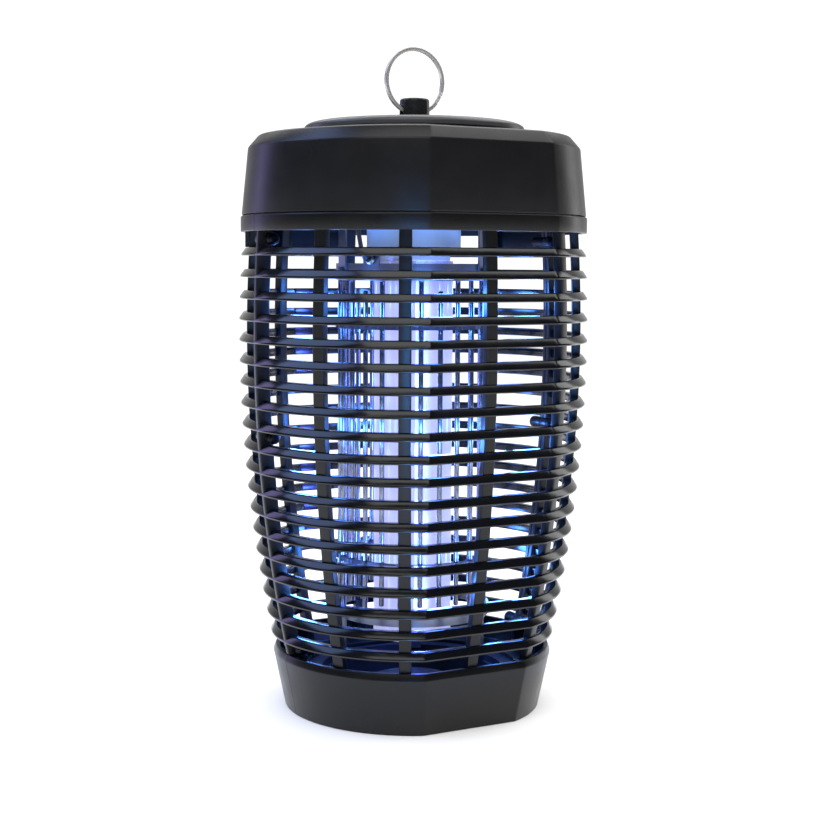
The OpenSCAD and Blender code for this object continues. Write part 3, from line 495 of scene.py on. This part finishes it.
# A glass fuse between tinned ends: 4 mm of metal at each end of 20 mm, and clear grey glass between.
fuse_glass = finish("glass_tube_fuse", "#aab4b8", "#c8d2d6", 8, 0.08, 0.02, 6, 0.002, ior=1.5)
tree = fuse_glass.node_tree
along = add(tree, "ShaderNodeSeparateXYZ", {"Vector": add(tree, "ShaderNodeTexCoord").outputs["Object"]}).outputs["X"]
middle = add(tree, "ShaderNodeMath", {0: along, 1: 20 * MM, 2: 6 * MM}, operation="COMPARE")
clear = add(tree, "ShaderNodeMath", {0: middle.outputs["Value"], 1: 0.85}, operation="MULTIPLY")
metal = add(tree, "ShaderNodeMath", {0: 1.0, 1: middle.outputs["Value"]}, operation="SUBTRACT")
tree.links.new(clear.outputs["Value"], tree.nodes["Principled BSDF"].inputs["Transmission Weight"])
tree.links.new(metal.outputs["Value"], tree.nodes["Principled BSDF"].inputs["Metallic"])
dress(fuse_glass, "fuse")
# Hot-dip galvanised cans: the zinc's crystals show as 6 mm spangles of slightly different grey.
can_steel = finish("galvanised_steel_can", "#a2a5a8", "#bfc2c4", 20, 0.36, 0.06, 1.5, 0.01, 1.0)
tree = can_steel.node_tree
place = add(tree, "ShaderNodeTexCoord").outputs["Object"]
spangle = add(tree, "ShaderNodeTexVoronoi", {"Vector": place, "Scale": 1000 / 6})
greys = add(
    tree,
    "ShaderNodeMix",
    {"Factor": spangle.outputs["Color"], "A": rgb("#9da0a4"), "B": rgb("#c6c8ca")},
    data_type="RGBA",
)
tree.links.new(greys.outputs["Result"], tree.nodes["Principled BSDF"].inputs["Base Color"])
dress(can_steel, "ballast_a", "ballast_b")
# Natural nylon, ivory and slightly waxy.
ivory_nylon = finish("natural_nylon", "#d9d2b8", "#e8e2cc", 12, 0.4, 0.05, 1.0, 0.015, ior=1.53)
dress(ivory_nylon, "terminal_block")

# ---- Leads ----
# Stranded copper in coloured PVC, soldered to the board and screwed or soldered at the other end: the
# live lead to the upper band's tab, the return lead down behind a rear rib to the lower band, two
# white pairs to the lamp holders, and brown leads from the terminal block.


def at(radius, angle, z):
    """A point at an angle in degrees from the front towards +X, in mm."""
    a = math.radians(angle)
    return [radius * math.sin(a), -radius * math.cos(a), z]


# A direction that no lead runs along, which tube() needs.
LEAN = (0.31, 0.23, 0.17)
# Heights of the chassis plate's top, of the board's underside, and of the leads between them.
PLATE_TOP, BOARD_Z, LEAD_Z = 296.0, 304.0, 300.0
# Heights of the middles of the leads that lie on the plate, and of those that reach across to the ballasts.
ON_PLATE, HIGH = PLATE_TOP + 2.5, 305.0
live = [
    at(49.25, -60, 267.5), at(52.5, -60, 267.5), at(57, -60, 274.5), at(60, -60, 284.5), at(60, -60, LEAD_Z - 2),
    at(58, -60, LEAD_Z), [-43, -30, LEAD_Z], [-42, -30, LEAD_Z + 1], [-42, -30, BOARD_Z],
]
rib_back = [at(nose_r(z) - 12.1, 150, z) for z in range(270, 59, -15)]
back = (
    [[33, -21, BOARD_Z], [33, -21, LEAD_Z + 1], [32, -16, ON_PLATE], [15.5, -5, ON_PLATE], [15.5, 28, ON_PLATE]]
    + [[24, 40, ON_PLATE], np.add(at(84, 150, ON_PLATE), [-1, -2, 0]).tolist()]
    + [at(84, 150, PLATE_TOP), at(84, 150, 286)]
    + rib_back
    + [at(nose_r(50) - 15, 153, 47), at(53, 174, 51), at(50.6, 174, 54), at(48, 174, 58)]
)
lamp_routes = [
    [[s * 6, s * 9.5, 287.5], [s * 6, s * 9.5, 299], [s * 9, s * 9.5 + (6 if s < 0 else 1), 302], [s * 14, 6, 303],
     [s * 20, 6, 303]]
    for s in (-1, 1)
]
mains_routes = [
    [[s * 10, 38, HIGH], [s * 10, 34, HIGH], [s * 13.5, 20, HIGH], [s * 17, 17, HIGH], [s * 19.9, 17, HIGH]]
    for s in (-1, 1)
]
mains_routes.append([[0, 38, HIGH], [0, 32, HIGH], [0, -12, 300.5], [0, -17, 300.5], [0, -18.5, 302], [0, -18.5, 304]])
for name, routes, radius, dark, light, slot in (
    ("hv_lead_live", [live], 1.3, "#101115", "#1a1b21", "live_wire"),
    ("hv_lead_return", [back], 1.3, "#101113", "#1b1c1f", "return_wire"),
    ("lamp_leads", lamp_routes, 1.6, "#dcdcd8", "#ececea", "lamp_wire"),
    ("mains_leads", mains_routes, 1.3, "#4f2f1b", "#633d26", "mains_wire"),
):
    # Extruded PVC: soft gloss, with the faint lay of the strands at 2 mm.
    pvc = finish("pvc_insulation_" + slot, dark, light, 12, 0.32, 0.05, 2, 0.02, ior=1.53)
    tubes = [tube("wire", bent(r, 3), radius, LEAN) for r in routes]
    fit(merged(name + "_insulation", tubes), pvc, slot, name)

# ---- Top housing ----
# One black ABS moulding: a wall that leans in, a chamfer, and a nearly flat roof under the disc, with
# the barrel's two flat facets carried up through it. Inside are four screw bosses and, low on the rear
# wall, an upright pad with the hole for the cord gland. It drops over the chassis plate.

HOUSING = rounded(
    [(102.0, 293.5), (98.1, 332.5), (92.0, 339.5), (66.0, 342.3), (5.2, 342.3), (5.2, 339.3), (66.0, 339.3),
     (90.6, 336.4), (95.1, 331.4), (99.0, 293.5)],
    [0.5, 0.9, 1.0, 0.8, 0.05, 0.05, 0.8, 1.0, 0.9, 0.4],
)
angle = turns(-180, 180)[:-1, None]
# The facets fade out from 66 mm to 12 mm from the axis, where the hole for the post is round.
share = np.clip((HOUSING[:, 0] - 12) / 54, 0, 1)
r = HOUSING[:, 0] * (1 + (plan(angle) - 1) * share) * MM
points = np.stack([r * np.sin(angle), -r * np.cos(angle), np.broadcast_to(HOUSING[:, 1] * MM, r.shape)], -1)
shell = surface("shell", points, grid_faces(*r.shape, closed=True))
cutter = turned("cutter", [(1e-4, 0), (7.1, 0), (7.1, 25), (1e-4, 25)], (0, 80, 312), (0, 1, 0), 64)
hole = shell.modifiers.new("gland_hole", "BOOLEAN")
hole.object, hole.solver = cutter, "EXACT"
shell.data = bpy.data.meshes.new_from_object(shell.evaluated_get(bpy.context.evaluated_depsgraph_get()))
shell.modifiers.clear()
bpy.data.objects.remove(cutter)
pad_y = 102 * math.cos(math.radians(FACET)) - 7
parts = [shell, turned("pad", sleeve(7.1, 13, 6.6), (0, pad_y, 312), (0, 1, 0), 64)]
for a in (-65, 65, 115, 245):
    parts.append(turned("boss", sleeve(1.8, 4.5, 41), at(84, a, 296), segments=32))
# The same ABS with a slightly coarser spark-eroded grain, so the soft lights spread wider on it.
housing_abs = finish("grained_black_abs_housing", "#0e0e0f", "#161617", 55, 0.31, 0.04, 0.8, 0.02, ior=1.42)
fit(merged("top_housing_shell", parts), housing_abs, "housing_plastic", "top_housing")

# ---- Disc and hanger post ----
# A turned-looking ABS disc with a bevelled rim sits on the roof and spreads the pull of the post, whose
# stud goes down through disc and roof to a washer and nut. The post's cross hole takes the split ring.

rim = np.radians(np.linspace(0, 90, 9))
bevel = np.stack([55 + 10 * np.cos(rim), 344.5 + 3.5 * np.sin(rim)], -1)
disc_outline = np.concatenate([[(5.2, 342.3), (64.5, 342.3), (65, 342.8)], bevel, [(20, 348), (5.2, 348)]])
# Its colour is set greyer than the other black ABS as a painted highlight, so that the bevel reads light.
disc_abs = finish("black_abs_disc_painted_sheen", "#323233", "#3e3e3f", 30, 0.34, 0.05, 1.2, 0.015, ior=1.53)
fit(turned("top_disc_moulding", disc_outline, segments=144), disc_abs, "disc_plastic", "top_disc")
# The post is moulded in black nylon.
post_nylon = finish("black_nylon_post", "#0e0f10", "#18191b", 10, 0.3, 0.06, 1.0, 0.015, ior=1.53)
dress(post_nylon, "hanger_post")

# ---- Split ring ----
# Two flat turns of spring steel wire, wound side by side like a key ring's and nickel-plated: the wire
# steps across where its two ends meet. It hangs free in the post's cross hole.

low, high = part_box("hanger_ring")
middle_z = (low[2] + high[2]) / 2 / MM
# Angle from the top, clockwise from the front; the ends meet 12 degrees either side of SPLIT.
SPLIT = math.radians(118)
t = np.concatenate([np.linspace(12, 345, 112), np.linspace(348, 372, 13), np.linspace(375, 708, 112)])
# Half the width and half the thickness of the wire, and the radius that its middle runs on.
WIRE_W, WIRE_T, WIRE_R = 1.1, 0.565, 18.65
# The wire crosses from one turn to the other over 9 degrees either side of t = 360, and eases in and out.
cross = np.clip((t - 360) / 9, -1, 1)
side = WIRE_T * cross - WIRE_T * 0.3 * np.sin(np.pi * cross)
turn = SPLIT + np.radians(t)
section = rounded([(-WIRE_W, -WIRE_T), (WIRE_W, -WIRE_T), (WIRE_W, WIRE_T), (-WIRE_W, WIRE_T)], 0.42, 5)
radius = WIRE_R + section[None, :, 0]
points = np.stack(
    [
        radius * np.sin(turn)[:, None],
        side[:, None] + section[None, :, 1],
        middle_z + radius * np.cos(turn)[:, None],
    ],
    -1,
)
ring = surface("split_ring_wire", points * MM, grid_faces(*points.shape[:2]))
# Bright nickel: almost a mirror, a little warm, with hairline wear along the wire.
nickel = finish("nickel_plated_spring_steel", "#c6c4c0", "#dcdad6", 12, 0.28, 0.03, 2, 0.0002, 0.7)
fit(ring, nickel, "polished_steel", "hanger_ring", body="hanging_ring")

# ---- Cord gland ----
# A rubber bushing pushed through the rear pad from outside and held by a six-sided nut inside; the
# supply cord isn't part of this object.

rubber = finish("black_rubber", "#0f0f10", "#1b1b1c", 8, 0.55, 0.08, 0.8, 0.03, ior=1.52)
dress(rubber, "cord_gland", "gland_nut")

# ---- Screws, washer and nut ----
# Self-tapping and machine screws with pan heads and cross slots, and the post's washer and nut: steel,
# bright zinc-plated, which leaves a faint blue and yellow cast in patches.

zinc = finish("bright_zinc_plated_steel", "#a9b0bc", "#c9c6b8", 3, 0.3, 0.08, 0.5, 0.008, 1.0)
dress(
    zinc, "base_screws", "flange_screws", "housing_screws", "shroud_screws", "board_screws", "grid_screws",
    "hanger_washer", "hanger_nut",
)
# The six shell screws sit in the gaps between the blades and are black zinc-plated, so they hardly show.
black_zinc = finish("black_zinc_plated_steel", "#1a1b1f", "#2a2b30", 3, 0.34, 0.06, 0.5, 0.004, 1.0)
dress(black_zinc, "shell_screws")

# ---- Studio ----
# The lantern stands on a pale floor in front of a bright backdrop, with soft boxes above, behind, in
# front and on each side, and a strip low on each side. Small blue lights between the lamps and around the
# grid stand for the ultraviolet glow, which the emission of the lamps alone gives too little of.

floor_mesh = bpy.data.meshes.new("floor")
floor_mesh.from_pydata([(-8, -8, -1e-4), (8, -8, -1e-4), (8, 8, -1e-4), (-8, 8, -1e-4)], [], [(0, 1, 2, 3)])
floor = bpy.data.objects.new("floor", floor_mesh)
bpy.context.collection.objects.link(floor)
# Matt paint without any sheen (an index of 1), so the floor stays an even white up to its far edge.
floor_mesh.materials.append(finish("pale_painted_floor", "#f4f4f4", "#f8f8f8", 400, 0.8, 0.05, 20, 0.01, ior=1.0))

world = bpy.data.worlds.new("backdrop")
bpy.context.scene.world = world
world.use_nodes = True
tree = world.node_tree
mirrored = add(tree, "ShaderNodeLightPath").outputs["Is Glossy Ray"]
direction = add(tree, "ShaderNodeTexCoord").outputs["Generated"]
# Where the camera stands, in degrees round the lantern from its front.
VIEW_DEGREES = -28.4
VIEW = math.radians(VIEW_DEGREES)
# Mirrored rays see a dark room that brightens straight behind the lantern, all others an even white.
behind = (-math.sin(VIEW), math.cos(VIEW), 0)
ahead = add(tree, "ShaderNodeVectorMath", {0: direction, 1: behind}, operation="DOT_PRODUCT")
bright = add(
    tree,
    "ShaderNodeMapRange",
    {"Value": ahead.outputs["Value"], "From Min": 0.6, "From Max": 1.0, "To Min": 0.02, "To Max": 0.7},
)
level = add(tree, "ShaderNodeMix", {"Factor": mirrored, "A": 1.14, "B": bright.outputs["Result"]}, data_type="FLOAT")
tree.links.new(level.outputs["Result"], tree.nodes["Background"].inputs["Strength"])
tree.nodes["Background"].inputs["Color"].default_value = (1, 1, 1, 1)
# Mirrored and plain rays see different backdrops, which only holds when the backdrop isn't sampled as a lamp.
world.cycles.sampling_method = "NONE"


def soft_box(name, azimuth, elevation, distance, width, height, power, colour="#ffffff"):
    """An area light, in metres and watts, that faces the lantern's middle from azimuth degrees round it, counted as
    the camera's place is, and elevation degrees above it."""
    light = bpy.data.lights.new(name, "AREA")
    light.shape, light.size, light.size_y, light.energy = "RECTANGLE", width, height, power
    light.color = rgb(colour)[:3]
    lamp = bpy.data.objects.new(name, light)
    turn = Matrix.Rotation(math.radians(azimuth), 4, "Z") @ Matrix.Rotation(math.radians(90 - elevation), 4, "X")
    lamp.matrix_world = Matrix.Translation((0, 0, 0.19)) @ turn @ Matrix.Translation((0, 0, distance))
    bpy.context.collection.objects.link(lamp)


# The strips give the sides their upright streaks, the boxes the chamfer, the disc's bevel and the leaning blades.
soft_box("box_above", VIEW_DEGREES, 74, 1.6, 1.3, 0.8, 6)
soft_box("box_behind", VIEW_DEGREES + 180, 50, 1.8, 2.0, 1.1, 12)
soft_box("box_front", VIEW_DEGREES - 10, 42, 1.7, 1.5, 0.5, 4)
soft_box("strip_left", VIEW_DEGREES - 120, 8, 1.1, 0.22, 0.9, 1.4, "#bdb4ff")
soft_box("strip_right", VIEW_DEGREES + 128, 10, 1.2, 0.25, 0.9, 1.3)
soft_box("box_left", VIEW_DEGREES - 92, 48, 1.6, 1.0, 1.0, 9, "#a4bfff")
soft_box("box_right", VIEW_DEGREES + 108, 56, 1.6, 0.9, 0.9, 5)

# The glow also falls on the cage's front: a narrow blue beam, kept to the height of the blades.
light = bpy.data.lights.new("glow_front", "SPOT")
light.energy, light.spot_size, light.spot_blend, light.shadow_soft_size = 36, math.radians(15), 0.8, 0.12
light.color = rgb("#2f7fd0")[:3]
lamp = bpy.data.objects.new("glow_front", light)
turn = Matrix.Rotation(VIEW, 4, "Z") @ Matrix.Rotation(math.radians(90 + 4), 4, "X")
lamp.matrix_world = Matrix.Translation((0, 0, 0.175)) @ turn @ Matrix.Translation((0, 0, 1.1))
lamp.visible_camera = False
bpy.context.collection.objects.link(lamp)

# Five lights stand on the axis between the lamps, and rings of six stand 70 mm from it, outside the grid.
for i, (place, power, colour) in enumerate(
    [((0, 0, z), 0.26, "#4a70ff") for z in (60, 105, 150, 195, 240)]
    + [(at(70, a, z), 0.12, "#4a8cff") for a in (-75, -15, 45, 105, 165, 225) for z in (80, 165, 245)]
):
    light = bpy.data.lights.new("glow_%02d" % i, "POINT")
    light.energy, light.shadow_soft_size, light.color = power, 0.008, rgb(colour)[:3]
    lamp = bpy.data.objects.new("glow_%02d" % i, light)
    lamp.location = np.array(place) * MM
    lamp.visible_camera = False
    bpy.context.collection.objects.link(lamp)

# The camera's distance from the axis and height in metres, and how it is tipped, panned and rolled in degrees.
CAMERA_R, CAMERA_Z, DOWN, PAN, ROLL = 0.936, 0.2665, 5.57, -0.04, 0.3
camera = bpy.data.objects.new("camera", bpy.data.cameras.new("camera"))
bpy.context.collection.objects.link(camera)
camera.data.lens, camera.data.sensor_width = 67.83, 36
camera.matrix_world = (
    Matrix.Translation((CAMERA_R * math.sin(VIEW), -CAMERA_R * math.cos(VIEW), CAMERA_Z))
    @ Matrix.Rotation(VIEW + math.radians(PAN), 4, "Z")
    @ Matrix.Rotation(math.radians(90 - DOWN), 4, "X")
    @ Matrix.Rotation(math.radians(ROLL), 4, "Z")
)
bpy.context.scene.camera = camera
bpy.context.scene.view_settings.view_transform = "Standard"
